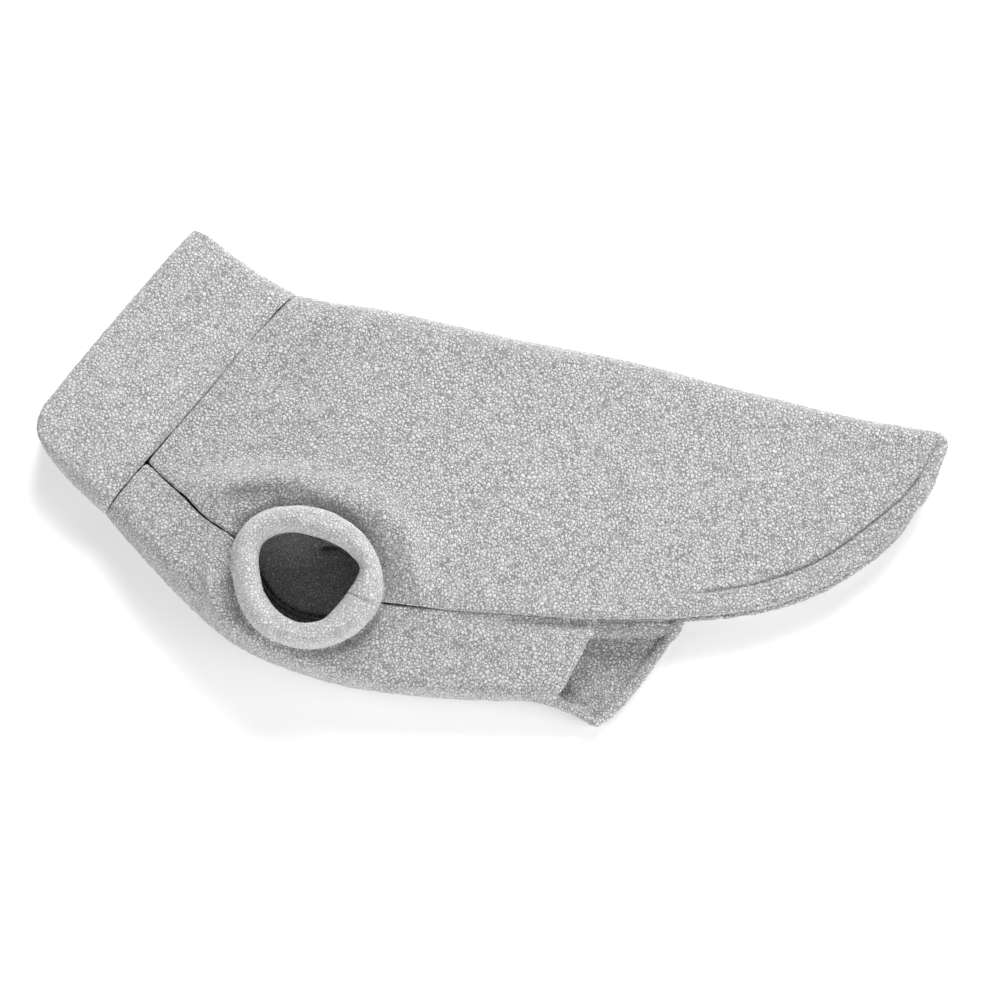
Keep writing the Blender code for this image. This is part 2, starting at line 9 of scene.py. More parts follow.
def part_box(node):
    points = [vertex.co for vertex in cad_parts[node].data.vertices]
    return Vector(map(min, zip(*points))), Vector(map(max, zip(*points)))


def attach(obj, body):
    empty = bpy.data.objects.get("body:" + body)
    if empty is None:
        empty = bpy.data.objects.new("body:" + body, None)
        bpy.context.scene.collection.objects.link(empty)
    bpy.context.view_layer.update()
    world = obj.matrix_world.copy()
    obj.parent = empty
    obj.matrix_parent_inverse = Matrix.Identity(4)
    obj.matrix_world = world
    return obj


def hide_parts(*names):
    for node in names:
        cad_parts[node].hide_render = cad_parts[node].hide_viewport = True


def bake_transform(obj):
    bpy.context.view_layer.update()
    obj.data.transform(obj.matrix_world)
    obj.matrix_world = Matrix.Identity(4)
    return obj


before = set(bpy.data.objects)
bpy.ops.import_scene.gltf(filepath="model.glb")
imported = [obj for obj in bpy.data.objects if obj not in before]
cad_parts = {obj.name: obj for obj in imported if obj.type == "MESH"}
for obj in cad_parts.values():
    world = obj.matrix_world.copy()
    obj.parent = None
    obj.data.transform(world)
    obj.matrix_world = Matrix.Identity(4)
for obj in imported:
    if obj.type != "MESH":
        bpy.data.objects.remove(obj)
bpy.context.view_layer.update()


# ---------------------------------------------------------------- camera, floor and light
# A long lens looks down on the garment from just in front of the belly side. The floor is plain white.
# A broad soft light comes from behind the spine, with weaker ones in front and on both sides.

CAMERA_RISE = math.radians(80)
CAMERA_AWAY = 1.361
neck_top = Vector((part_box("back_panel")[1].x - 0.3184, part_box("back_panel")[1].y, 0))
CAMERA_TARGET = neck_top + Vector((0.1000, -0.10035, 0))

camera = bpy.data.objects.new("camera", bpy.data.cameras.new("camera"))
camera.data.lens = 100
camera.data.sensor_width = 36
camera.location = CAMERA_TARGET + CAMERA_AWAY * Vector((0, -math.cos(CAMERA_RISE), math.sin(CAMERA_RISE)))
camera.rotation_euler = (math.pi / 2 - CAMERA_RISE, 0, 0)
bpy.context.scene.collection.objects.link(camera)
bpy.context.scene.camera = camera
bpy.context.scene.view_settings.view_transform = "Standard"

FLOOR_REACH = 6
FLOOR_LEVEL = -0.0004  # just under the lowest nubs
floor_mesh = bpy.data.meshes.new("floor")
floor_mesh.from_pydata([(x * FLOOR_REACH, y * FLOOR_REACH, FLOOR_LEVEL)
                        for x, y in ((-1, -1), (1, -1), (1, 1), (-1, 1))], [], [(0, 1, 2, 3)])
floor = bpy.data.objects.new("floor", floor_mesh)
bpy.context.scene.collection.objects.link(floor)
floor_paint = bpy.data.materials.new("white floor")
floor_paint.use_nodes = True
floor_shader = floor_paint.node_tree.nodes["Principled BSDF"]
floor_shader.inputs["Base Color"].default_value = (0.93, 0.93, 0.93, 1)
floor_shader.inputs["Roughness"].default_value = 0.8
floor_shader.inputs["Specular IOR Level"].default_value = 0.2
floor_mesh.materials.append(floor_paint)

for lamp_name, lamp_from, lamp_size, lamp_power in (
        ("window light", (0.4, 1.45, 0.85), 1.0, 54),
        ("front fill", (0.2, -1.6, 0.8), 1.3, 32),
        ("left fill", (-1.65, 0.1, 0.7), 1.1, 13),
        ("right fill", (1.6, -0.4, 0.8), 1.2, 18)):
    lamp = bpy.data.objects.new(lamp_name, bpy.data.lights.new(lamp_name, "AREA"))
    lamp.data.energy = lamp_power
    lamp.data.size = lamp_size
    lamp.location = lamp_from
    lamp.rotation_euler = (-Vector(lamp_from)).to_track_quat("-Z", "Y").to_euler()
    bpy.context.scene.collection.objects.link(lamp)

world = bpy.data.worlds.new("studio")
world.use_nodes = True
world.node_tree.nodes["Background"].inputs["Color"].default_value = (1, 1, 1, 1)
world.node_tree.nodes["Background"].inputs["Strength"].default_value = 0.17
bpy.context.scene.world = world


# ---------------------------------------------------------------- back panel
# One piece of pile fleece over the spine, from the neck seam to the rounded tail. Its free edge is turned in
# 12 mm and topstitched. It lies in two halves, folded along the spine, with a hole where each leg cuff is sewn.

FLEECE = 0.0035  # one layer
HEM_WIDTH = 0.012
HEM_AT_TIP = 0.0055  # the turned edge narrows towards the tip of the tail
HEM_THICK = 0.0062  # at the turned edge
SEAM_DIP = 0.0012  # how far the cloth is drawn down into the neck seam
SEAM_DIP_REACH = 0.003
EDGE_INSET = 0.0017  # from a piece's outline to its grid, so that the rounded edge ends on the outline
FOLD_AT_NECK = (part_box("collar")[1].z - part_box("collar")[0].z) / 2
FOLD_AT_TAIL = 0.0075
NEAR, FAR = 1, -1

back_low, back_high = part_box("back_panel")
belly_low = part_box("chest_belly_panel")[0]
BODY_LENGTH = (back_high.x - back_low.x) / 1.2283
BODY_DEPTH = (back_high.y - belly_low.y) / 1.0395
NECK_TOP = np.array([back_low.x + 0.224 * BODY_LENGTH, back_high.y])


def plan(across, down):
    """A point of the plan, as shares of the body's length and depth from the top of the neck seam."""
    return NECK_TOP + np.array([across * BODY_LENGTH, -down * BODY_DEPTH])


SPINE = [plan(*p) for p in ((0, 0), (0.044, 0.015), (0.196, 0.06), (0.372, 0.12), (0.55, 0.18), (0.732, 0.254),
                            (0.858, 0.302), (1.0, 0.342))]
BACK_EDGE = [plan(*p) for p in ((-0.224, 0.4232), (-0.167, 0.511), (-0.112, 0.588), (0.02, 0.71), (0.134, 0.771),
                                (0.233, 0.79), (0.385, 0.803), (0.467, 0.808), (0.59, 0.803), (0.703, 0.781),
                                (0.808, 0.723), (0.893, 0.633), (0.953, 0.542))]
TAIL_END = [plan(*p) for p in ((1.0, 0.342), (1.004, 0.374), (0.99, 0.432), (0.975, 0.487), (0.953, 0.542))]
NECK_BOTTOM = plan(-0.289, 0.546)
NECK_LENGTH = float(np.linalg.norm(NECK_BOTTOM - NECK_TOP))
ALONG_NECK = (NECK_BOTTOM - NECK_TOP) / NECK_LENGTH
INTO_BODY = np.array([-ALONG_NECK[1], ALONG_NECK[0]])
TAIL_REACH = float((SPINE[-1] - NECK_TOP) @ INTO_BODY)


def curve_through(points, at):
    """Points on a smooth curve through the given ones, at shares from 0 to 1 of its length."""
    p = np.array(points, float)
    p = np.vstack([2 * p[0] - p[1], p, 2 * p[-1] - p[-2]])
    t = np.linspace(0, 1, 40, endpoint=False)[:, None]
    runs = []
    for a, b, c, d in zip(p, p[1:], p[2:], p[3:]):
        runs.append(0.5 * (2 * b + (c - a) * t + (2 * a - 5 * b + 4 * c - d) * t ** 2
                           + (3 * b - a - 3 * c + d) * t ** 3))
    fine = np.vstack(runs + [p[-2:-1]])
    length = np.concatenate([[0], np.cumsum(np.linalg.norm(np.diff(fine, axis=0), axis=1))])
    at = np.atleast_1d(at) * length[-1]
    return np.stack([np.interp(at, length, fine[:, k]) for k in range(fine.shape[1])], axis=1)


def share_along(points, target):
    at = np.linspace(0, 1, 600)
    return float(at[np.argmin(np.linalg.norm(curve_through(points, at) - target, axis=1))])


def smooth(t):
    t = np.clip(t, 0, 1)
    return t * t * (3 - 2 * t)


def distance_to(points, xy):
    """Plan distance from each point of an array to a smooth curve through the given points."""
    line = curve_through(points, np.linspace(0, 1, 1500))
    tree = kdtree.KDTree(len(line))
    for i, p in enumerate(line):
        tree.insert((p[0], p[1], 0), i)
    tree.balance()
    flat = xy.reshape(-1, 2)
    return np.array([tree.find((x, y, 0))[2] for x, y in flat]).reshape(xy.shape[:-1])


LEFT_CUFF_RIM = [plan(*p) for p in (
    (-0.0885, 0.690), (-0.0840, 0.643), (-0.0661, 0.596), (-0.0361, 0.564), (0.0060, 0.5526), (0.0568, 0.565),
    (0.1050, 0.610), (0.1310, 0.668), (0.1400, 0.727), (0.1348, 0.783), (0.1030, 0.843), (0.0560, 0.878),
    (0.0080, 0.880), (-0.0433, 0.8465), (-0.0740, 0.783))]
LEFT_LEG = plan(0.028, 0.716)
RIGHT_LEG = plan(0.054, 0.623)


def fold_radius(xy):
    return FOLD_AT_NECK + (FOLD_AT_TAIL - FOLD_AT_NECK) * smooth((xy - NECK_TOP) @ INTO_BODY / TAIL_REACH)


def hill(xy, centre, reach):
    return np.exp(-(((xy - centre) / np.array(reach)) ** 2).sum(-1))


# Soft folds that the leg cuffs and the seams pull in the near half: the ridge's points, its height and width.
RIDGES = (
    (((-0.175, 0.485), (-0.12, 0.486), (-0.078, 0.482), (-0.012, 0.480), (0.050, 0.498), (0.120, 0.540),
      (0.168, 0.61), (0.184, 0.69), (0.184, 0.77)), 0.0072, 0.0080),
    (((-0.118, 0.64), (-0.122, 0.7), (-0.112, 0.785), (-0.087, 0.86)), 0.0042, 0.0045),
    (((-0.02, 0.28), (-0.045, 0.36), (-0.06, 0.42)), 0.0009, 0.004),
    (((0.2, 0.6), (0.26, 0.69), (0.36, 0.74)), 0.001, 0.009),
)


def fade_at_ends(points, xy):
    line = curve_through(points, np.linspace(0, 1, 200))
    start, end = line[0], line[-1]
    into = line[8] - line[0]
    back = line[-9] - line[-1]
    a = ((xy - start) @ into) / np.linalg.norm(into)
    b = ((xy - end) @ back) / np.linalg.norm(back)
    return smooth((a + 0.008) / 0.03) * smooth((b + 0.008) / 0.03)


def unevenness(xy, size, seed):
    """A slow, small waviness of the cloth over the plan, from about -1 to 1."""
    flat = xy.reshape(-1, 2)
    waves = [noise.noise((x / size + seed, y / size, seed)) for x, y in flat.tolist()]
    return np.array(waves).reshape(xy.shape[:-1])


def belly_swell(xy):
    """How far the chest and the back lift the near half above its folds."""
    return (0.011 * hill(xy, plan(0.04, 0.64), (0.075, 0.05))
            + 0.009 * hill(xy, plan(0.3, 0.58), (0.12, 0.065))) * smooth((xy - NECK_TOP) @ INTO_BODY / 0.03)


def outside_height(xy, side, from_fold):
    """Height of the garment's outside over points of the plan, on its near or far half."""
    radius = fold_radius(xy)
    rounding = np.sqrt(1 - (1 - np.clip(from_fold / radius, 0, 1)) ** 2)
    if side == FAR:
        return radius * (1 - rounding)
    rise = belly_swell(xy) + 0.0011 * unevenness(xy, 0.045, 2.0) + 0.0005 * unevenness(xy, 0.016, 5.0)
    for shares, height, width in RIDGES:
        ridge = [plan(*s) for s in shares]
        rise = rise + height * np.exp(-(distance_to(ridge, xy) / width) ** 2) * fade_at_ends(ridge, xy)
    into_armhole = distance_to(LEFT_CUFF_RIM + LEFT_CUFF_RIM[:1], xy)
    rise = rise - 0.003 * np.exp(-(into_armhole / 0.0035) ** 2)
    return radius + (radius + rise) * rounding


def patch(south, north, west, east, u, v):
    """Plan points of the four-sided area between four curves, for arrays u and v of the same shape."""
    shape = u.shape
    flat_u, flat_v = u.ravel(), v.ravel()
    s, n, w, e = south(flat_u), north(flat_u), west(flat_v), east(flat_v)
    cu, cv = flat_u[:, None], flat_v[:, None]
    corners = ((1 - cu) * (1 - cv) * west([0.0]) + cu * (1 - cv) * east([0.0])
               + (1 - cu) * cv * west([1.0]) + cu * cv * east([1.0]))
    return ((1 - cv) * s + cv * n + (1 - cu) * w + cu * e - corners).reshape(*shape, 2)


def pile_height(points, nub=0.0020, seed=0.0):
    """Height of the pile's nubs over an array of points, about 0 on average."""
    flat = points.reshape(-1, 3)
    heights = np.empty(len(flat))
    for i, (x, y, z) in enumerate(flat.tolist()):
        near, next_near = noise.voronoi((x / nub + seed, y / nub, z / nub))[0][:2]
        clump = noise.noise((x / 0.006, y / 0.006 + seed, z / 0.006))
        heights[i] = min(next_near - near, 0.5) - 0.25 + 0.35 * clump
    return heights.reshape(points.shape[:-1])


def grid_normals(grid, closed=False):
    """Unit normals of a grid of points; closed means each row is a loop."""
    along = np.gradient(grid, axis=0)
    across = (np.roll(grid, -1, 1) - np.roll(grid, 1, 1)) / 2 if closed else np.gradient(grid, axis=1)
    n = np.cross(along, across)
    return n / np.maximum(np.linalg.norm(n, axis=2, keepdims=True), 1e-12)


PILE = 0.0008  # how far the nubs stand out


def link_mesh(name, points, faces):
    mesh = bpy.data.meshes.new(name)
    mesh.from_pydata([tuple(p) for p in points], [], faces)
    bm = bmesh.new()
    bm.from_mesh(mesh)
    bmesh.ops.recalc_face_normals(bm, faces=bm.faces)
    bm.to_mesh(mesh)
    bm.free()
    mesh.shade_smooth()
    piece = bpy.data.objects.new(name, mesh)
    bpy.context.scene.collection.objects.link(piece)
    return piece


def sheet_mesh(name, grid, thickness, coarse=1, rim_steps=6):
    """A closed sheet of fleece whose outside is the grid, with rounded edges. Its inner face keeps every
    coarse-th point of the grid."""
    normal = grid_normals(grid)
    if normal[len(grid) // 2, 0, 2] < 0:
        normal = -normal
    n, m = grid.shape[:2]
    border = ([(0, j) for j in range(m)] + [(i, m - 1) for i in range(1, n)]
              + [(n - 1, j) for j in range(m - 2, -1, -1)] + [(i, 0) for i in range(n - 2, 0, -1)])
    bi, bj = (np.array(k) for k in zip(*border))
    inward_i = np.clip(bi, 1, n - 2) - bi
    inward_j = np.clip(bj, 1, m - 2) - bj
    step_i = grid[bi, bj] - grid[bi + inward_i, bj]
    step_j = grid[bi, bj] - grid[bi, bj + inward_j]
    rim_normal = normal[bi, bj]
    along = np.roll(grid[bi, bj], -2, 0) - np.roll(grid[bi, bj], 2, 0)
    outward = np.cross(along, rim_normal)
    if (outward * (step_i + step_j)).sum() < 0:
        outward = -outward
    outward /= np.linalg.norm(outward, axis=1, keepdims=True)
    half = thickness[bi, bj][:, None] / 2
    middle = grid[bi, bj] - rim_normal * half
    points = [grid.reshape(-1, 3) + (pile_height(grid) * PILE).reshape(-1, 1) * normal.reshape(-1, 3)]
    count = n * m
    faces = [(i * m + j, i * m + j + 1, (i + 1) * m + j + 1, (i + 1) * m + j)
             for i in range(n - 1) for j in range(m - 1)]
    loop = [i * m + j for i, j in border]
    for k in range(1, rim_steps):
        turn = math.pi * k / rim_steps
        direction = rim_normal * math.cos(turn) + outward * math.sin(turn)
        ring = middle + direction * half
        points.append(ring + direction * (pile_height(ring) * PILE)[:, None])
        fresh = list(range(count, count + len(border)))
        faces += [(loop[a], loop[(a + 1) % len(loop)], fresh[(a + 1) % len(loop)], fresh[a])
                  for a in range(len(loop))]
        loop = fresh
        count += len(border)
    rows, columns = np.arange(0, n, coarse), np.arange(0, m, coarse)
    inner = (grid - normal * thickness[..., None])[np.ix_(rows, columns)]
    inner_normal = normal[np.ix_(rows, columns)]
    points.append((inner - inner_normal * (pile_height(inner, seed=7.0) * PILE)[..., None]).reshape(-1, 3))
    w = len(columns)
    faces += [(count + i * w + j, count + (i + 1) * w + j, count + (i + 1) * w + j + 1, count + i * w + j + 1)
              for i in range(len(rows) - 1) for j in range(w - 1)]
    inner_index = {(int(i), int(j)): count + a * w + b for a, i in enumerate(rows) for b, j in enumerate(columns)}
    for a in range(0, len(border), coarse):
        b = (a + coarse) % len(border)
        fine = [loop[(a + k) % len(loop)] for k in range(coarse + 1)]
        faces.append(tuple(fine + [inner_index[border[b]], inner_index[border[a]]]))
    return link_mesh(name, np.vstack(points), faces)


def perpendicular(points, line, at):
    """Distance of each point from the tangent to a line, a function of the share along it, at the same share."""
    p = line(at)
    step = line(np.clip(at + 0.004, 0, 1)) - line(np.clip(at - 0.004, 0, 1))
    step /= np.linalg.norm(step, axis=1, keepdims=True)
    away = points - p[:, None, :]
    return np.abs(away[..., 0] * step[:, None, 1] - away[..., 1] * step[:, None, 0])


BACK_COLUMNS = 420
near_belly_end = share_along(BACK_EDGE, plan(0.467, 0.808))
far_belly_end = share_along(BACK_EDGE, plan(0.603, 0.803))
free_edge = np.vstack([curve_through(BACK_EDGE, np.linspace(near_belly_end, 1, 60)),
                       curve_through(TAIL_END[::-1], np.linspace(0, 1, 12))[1:]])


def spine_fold(t):
    """The spine, a little wavy as cloth lies."""
    t = np.asarray(t, float)
    wave = (0.0011 * np.array([noise.noise((k * 7.5, 0.3, 1.7)) for k in t])
            * smooth(t / 0.1) * smooth((1 - t) / 0.1))
    line = curve_through(SPINE, t)
    line[:, 1] += wave
    return line


def hem_strength(side, at):
    """0 where the edge is sewn to the belly panel, growing to 1 along the free edge."""
    start = near_belly_end if side == NEAR else far_belly_end
    return smooth((at - start - 0.02) / 0.14)


INTO_TAIL_CORNER = np.array([-0.78, 0.63])  # square to the outline where the long edge meets the tail's end
CORNER_INSET, CORNER_REACH = 0.0024, 0.009


def hem_width(xy):
    """Width of the turned edge beside points of the plan."""
    from_tip = np.linalg.norm(xy - SPINE[-1], axis=-1)
    return HEM_AT_TIP + (HEM_WIDTH - HEM_AT_TIP) * smooth(from_tip / 0.07)


def neck_dip(xy):
    """How far the near half dips beside the neck seam."""
    return SEAM_DIP * np.exp(-((xy - NECK_TOP) @ INTO_BODY / SEAM_DIP_REACH) ** 2)


def back_grid():
    """The panel's outside: a grid from the near edge over the spine to the far edge, with its thickness."""
    at = np.linspace(0.0040, 0.991, BACK_COLUMNS + 1)
    spine, edge = spine_fold(at), curve_through(BACK_EDGE, at)
    width = np.linalg.norm(spine - edge, axis=1)
    radius = fold_radius(spine)
    halves = {}
    for side, steps in ((NEAR, 135), (FAR, 42)):
        hem = hem_strength(side, at)
        inset = EDGE_INSET + (0.0014 if side == NEAR else -0.0002) * hem
        v = []
        for k in range(len(at)):
            arc = radius[k] * (1 - np.cos(np.linspace(0, math.pi / 2, 10)))
            flat = np.linspace(arc[-1], width[k] - inset[k], steps + 1)[1:]
            v.append(1 - np.concatenate([arc, flat]) / width[k])
        v = np.array(v)
        u = np.repeat(at[:, None], v.shape[1], axis=1)
        xy = patch(lambda t: curve_through(BACK_EDGE, t), spine_fold,
                   lambda t: BACK_EDGE[0] + np.asarray(t)[:, None] * (NECK_TOP - BACK_EDGE[0]),
                   lambda t: curve_through(TAIL_END[::-1], t), u, v)
        from_corner = np.linalg.norm(xy - BACK_EDGE[-1], axis=2)
        xy = xy + INTO_TAIL_CORNER * (CORNER_INSET * np.exp(-(from_corner / CORNER_REACH) ** 2))[..., None]
        from_fold = perpendicular(xy, spine_fold, at)
        z = outside_height(xy, side, from_fold)
        turn_width = hem_width(xy)
        from_hem = distance_to(free_edge, xy)
        groove = np.exp(-((from_hem - turn_width) / 0.0010) ** 2)
        puff = np.sin(math.pi * np.clip(from_hem / turn_width, 0, 1))
        if side == NEAR:
            z = z + hem[:, None] * (0.0007 * puff - 0.0016 * groove * smooth(from_fold / 0.006)) - neck_dip(xy)
        z[:, 0] = radius
        turned = hem[:, None] * (1 - smooth((from_hem - turn_width + 0.002) / 0.002))
        halves[side] = np.dstack([xy, z, FLEECE + (HEM_THICK - FLEECE) * turned])
    return np.concatenate([halves[NEAR][:, ::-1], halves[FAR][:, 1:]], axis=1)


DRAPE_STEP = 7  # columns and rows of the fine grid for each of the simulated one
DRAPE_FRAMES = 24
DRAPE_CAP = 0.0022  # the most that it may settle, which most of the half reaches


def drape(grid, near_rows):
    """How far the near half settles: a coarse copy hangs as cloth from its folds, seams and hem.

    Nothing lies under the copy, so most of it falls past the cap, and the cap sets the depth there.
    """
    rows = np.unique(np.append(np.arange(0, near_rows, DRAPE_STEP), near_rows - 1))
    columns = np.unique(np.append(np.arange(0, len(grid), DRAPE_STEP), len(grid) - 1))
    coarse = grid[np.ix_(columns, rows)][..., :3]
    n, m = coarse.shape[:2]
    mesh = bpy.data.meshes.new("drape")
    mesh.from_pydata([tuple(p) for p in coarse.reshape(-1, 3)], [],
                     [(i * m + j, i * m + j + 1, (i + 1) * m + j + 1, (i + 1) * m + j)
                      for i in range(n - 1) for j in range(m - 1)])
    cloth = bpy.data.objects.new("drape", mesh)
    bpy.context.scene.collection.objects.link(cloth)
    held = cloth.vertex_groups.new(name="held")
    away = distance_to(LEFT_CUFF_RIM + LEFT_CUFF_RIM[:1], coarse[..., :2])
    for i in range(n):
        for j in range(m):
            at_edge = i == 0 or i >= n - 2 or j == 0 or j >= m - 3
            if at_edge or away[i, j] < 0.008:
                held.add([i * m + j], 1.0, "REPLACE")
    sim = cloth.modifiers.new("sim", "CLOTH")
    sim.settings.quality = 6
    sim.settings.mass = 0.35
    sim.settings.tension_stiffness = sim.settings.compression_stiffness = 12
    sim.settings.shear_stiffness = 6
    sim.settings.bending_stiffness = 4
    sim.settings.vertex_group_mass = "held"
    sim.collision_settings.use_collision = False
    sim.collision_settings.use_self_collision = False
    sim.point_cache.frame_end = DRAPE_FRAMES
    scene = bpy.context.scene
    for frame_number in range(1, DRAPE_FRAMES + 1):
        scene.frame_set(frame_number)
    settled = cloth.evaluated_get(bpy.context.evaluated_depsgraph_get()).to_mesh()
    z = np.array([v.co.z for v in settled.vertices]).reshape(n, m)
    sag = np.clip(z - coarse[..., 2], -DRAPE_CAP, DRAPE_CAP)
    scene.frame_set(1)
    bpy.data.objects.remove(cloth)
    bpy.data.meshes.remove(mesh)
    along = np.array([np.interp(np.arange(len(grid)), columns, sag[:, j]) for j in range(m)]).T
    settle = np.array([np.interp(np.arange(near_rows), rows, along[i]) for i in range(len(grid))])
    from_hem = np.arange(near_rows) / near_rows
    return settle * smooth(from_hem / 0.15) * smooth((1 - from_hem) / 0.35)


back_points = back_grid()
NEAR_ROWS = 145  # of the back grid, from the hem to the spine
sag = drape(back_points, NEAR_ROWS)
back_points[:, :sag.shape[1], 2] += sag
back = sheet_mesh("fleece_back_panel", back_points[..., :3], back_points[..., 3], coarse=3)


def cut_hole(piece, rim, low, high):
    """Cuts a hole through one half of a panel, along a closed curve on the plan."""
    bm = bmesh.new()
    bottom = bm.faces.new([bm.verts.new((x, y, low)) for x, y in rim])
    made = bmesh.ops.extrude_face_region(bm, geom=[bottom])
    bmesh.ops.translate(bm, vec=(0, 0, high - low), verts=[g for g in made["geom"]
                                                           if isinstance(g, bmesh.types.BMVert)])
    bmesh.ops.recalc_face_normals(bm, faces=bm.faces)
    mesh = bpy.data.meshes.new("cutter")
    bm.to_mesh(mesh)
    bm.free()
    cutter = bpy.data.objects.new("cutter", mesh)
    bpy.context.scene.collection.objects.link(cutter)
    cut = piece.modifiers.new("cut", "BOOLEAN")
    cut.operation, cut.solver, cut.object = "DIFFERENCE", "EXACT", cutter
    bpy.context.view_layer.update()
    result = bpy.data.meshes.new_from_object(piece.evaluated_get(bpy.context.evaluated_depsgraph_get()))
    piece.modifiers.remove(cut)
    piece.data = result
    bpy.data.objects.remove(cutter)
    bpy.data.meshes.remove(mesh)


def shrunk(rim_points, by, count=72):
    """A closed curve through the rim's points, moved in by a distance."""
    closed = list(rim_points) + [rim_points[0]]
    p = curve_through(closed, np.linspace(0, 1, count, endpoint=False))
    step = np.roll(p, -1, 0) - np.roll(p, 1, 0)
    left = np.column_stack([-step[:, 1], step[:, 0]])
    left /= np.linalg.norm(left, axis=1, keepdims=True)
    centre = p.mean(0)
    left *= np.sign(((centre - p) * left).sum(1))[:, None]
    return p + left * by


def oval(centre, half_length, half_depth, count=72):
    turn = np.linspace(0, 2 * math.pi, count, endpoint=False)
    return centre + np.column_stack([half_length * np.cos(turn), half_depth * np.sin(turn)])


right_size = (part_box("right_leg_cuff")[1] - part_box("right_leg_cuff")[0]) / 2
left_hole = shrunk(LEFT_CUFF_RIM, 0.0012)
right_hole = oval(RIGHT_LEG, right_size.x - 0.001, right_size.y - 0.001)
cut_hole(back, left_hole, 2 * FOLD_AT_TAIL, 0.2)
cut_hole(back, right_hole, -0.05, 2 * FOLD_AT_TAIL)


# Pile fleece: pale heather nubs 1.6 to 2 mm across. The darker colour between them is painted shade in the
# crevices, where little light falls.

def pile_group():
    """A shader node group: position, nub size, nub colour and painted crevice shade colour in, colour and height
    out.
    """
    group = bpy.data.node_groups.new("pile nubs", "ShaderNodeTree")
    for name, kind in (("Position", "NodeSocketVector"), ("Nubs per metre", "NodeSocketFloat"),
                       ("Nub colour", "NodeSocketColor"), ("Crevice shade colour", "NodeSocketColor")):
        group.interface.new_socket(name, in_out="INPUT", socket_type=kind)
    for name, kind in (("Colour", "NodeSocketColor"), ("Height", "NodeSocketFloat")):
        group.interface.new_socket(name, in_out="OUTPUT", socket_type=kind)
    nodes, links = group.nodes, group.links
    enter, leave = nodes.new("NodeGroupInput"), nodes.new("NodeGroupOutput")
    warp = nodes.new("ShaderNodeTexNoise")
    warp.inputs["Scale"].default_value = 520
    warp.inputs["Detail"].default_value = 2
    links.new(enter.outputs["Position"], warp.inputs["Vector"])
    shift = nodes.new("ShaderNodeVectorMath")
    shift.operation = "MULTIPLY_ADD"
    links.new(warp.outputs["Color"], shift.inputs[0])
    shift.inputs[1].default_value = (0.0022, 0.0022, 0.0022)
    links.new(enter.outputs["Position"], shift.inputs[2])
    cells = nodes.new("ShaderNodeTexVoronoi")
    cells.feature = "DISTANCE_TO_EDGE"
    links.new(shift.outputs["Vector"], cells.inputs["Vector"])
    links.new(enter.outputs["Nubs per metre"], cells.inputs["Scale"])
    fibre = nodes.new("ShaderNodeTexNoise")
    fibre.inputs["Scale"].default_value = 1300
    fibre.inputs["Detail"].default_value = 3
    fibre.inputs["Distortion"].default_value = 1.5
    links.new(enter.outputs["Position"], fibre.inputs["Vector"])
    clump = nodes.new("ShaderNodeTexNoise")
    clump.inputs["Scale"].default_value = 160
    clump.inputs["Detail"].default_value = 3
    links.new(enter.outputs["Position"], clump.inputs["Vector"])
    round_top = nodes.new("ShaderNodeMapRange")
    round_top.interpolation_type = "SMOOTHSTEP"
    round_top.inputs["From Min"].default_value = 0.0
    round_top.inputs["From Max"].default_value = 0.34
    links.new(cells.outputs["Distance"], round_top.inputs["Value"])
    with_fibre = nodes.new("ShaderNodeMath")
    with_fibre.operation = "MULTIPLY_ADD"
    links.new(fibre.outputs["Fac"], with_fibre.inputs[0])
    with_fibre.inputs[1].default_value = 1.3
    links.new(round_top.outputs["Result"], with_fibre.inputs[2])
    height = nodes.new("ShaderNodeMath")
    height.operation = "MULTIPLY_ADD"
    links.new(clump.outputs["Fac"], height.inputs[0])
    height.inputs[1].default_value = 0.5
    links.new(with_fibre.outputs["Value"], height.inputs[2])
    links.new(height.outputs["Value"], leave.inputs["Height"])
    tone = nodes.new("ShaderNodeMapRange")
    tone.interpolation_type = "SMOOTHSTEP"
    tone.inputs["From Min"].default_value = 0.8
    tone.inputs["From Max"].default_value = 1.6
    links.new(height.outputs["Value"], tone.inputs["Value"])
    # Painted shade: the height mask fills the crevices round each nub with the darker colour. Clump and fibre noise
    # add random tone to the nubs.
    mix = nodes.new("ShaderNodeMix")
    mix.data_type = "RGBA"
    links.new(tone.outputs["Result"], mix.inputs[0])
    links.new(enter.outputs["Crevice shade colour"], mix.inputs[6])
    links.new(enter.outputs["Nub colour"], mix.inputs[7])
    links.new(mix.outputs[2], leave.inputs["Colour"])
    return group


PILE_GROUP = pile_group()


def fleece_material(name, nub_colour, crevice_shade_colour, nubs_per_metre=620):
    """Pile fleece in a nub colour and a colour of painted shade for its crevices: matt, with a soft sheen from its
    fibres.
    """
    material = bpy.data.materials.new(name)
    material.use_nodes = True
    nodes, links = material.node_tree.nodes, material.node_tree.links
    shader = nodes["Principled BSDF"]
    where = nodes.new("ShaderNodeTexCoord")
    pile = nodes.new("ShaderNodeGroup")
    pile.node_tree = PILE_GROUP
    pile.inputs["Nubs per metre"].default_value = nubs_per_metre
    pile.inputs["Nub colour"].default_value = (*nub_colour, 1)
    pile.inputs["Crevice shade colour"].default_value = (*crevice_shade_colour, 1)
    links.new(where.outputs["Object"], pile.inputs["Position"])
    bump = nodes.new("ShaderNodeBump")
    bump.inputs["Strength"].default_value = 1.0
    bump.inputs["Distance"].default_value = 0.0010
    links.new(pile.outputs["Height"], bump.inputs["Height"])
    links.new(pile.outputs["Colour"], shader.inputs["Base Color"])
    links.new(bump.outputs["Normal"], shader.inputs["Normal"])
    shader.inputs["Roughness"].default_value = 0.95
    shader.inputs["Specular IOR Level"].default_value = 0.15
    shader.inputs["Sheen Weight"].default_value = 0.6
    shader.inputs["Sheen Roughness"].default_value = 0.45
    return material


# The second colour of each fleece is painted shade for the crevices between the nubs.
body_fleece = fleece_material("light grey fleece", (0.77, 0.77, 0.775), (0.22, 0.22, 0.223))
back.data.materials.clear()
back.data.materials.append(body_fleece)
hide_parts("back_panel")
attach(back, "garment")


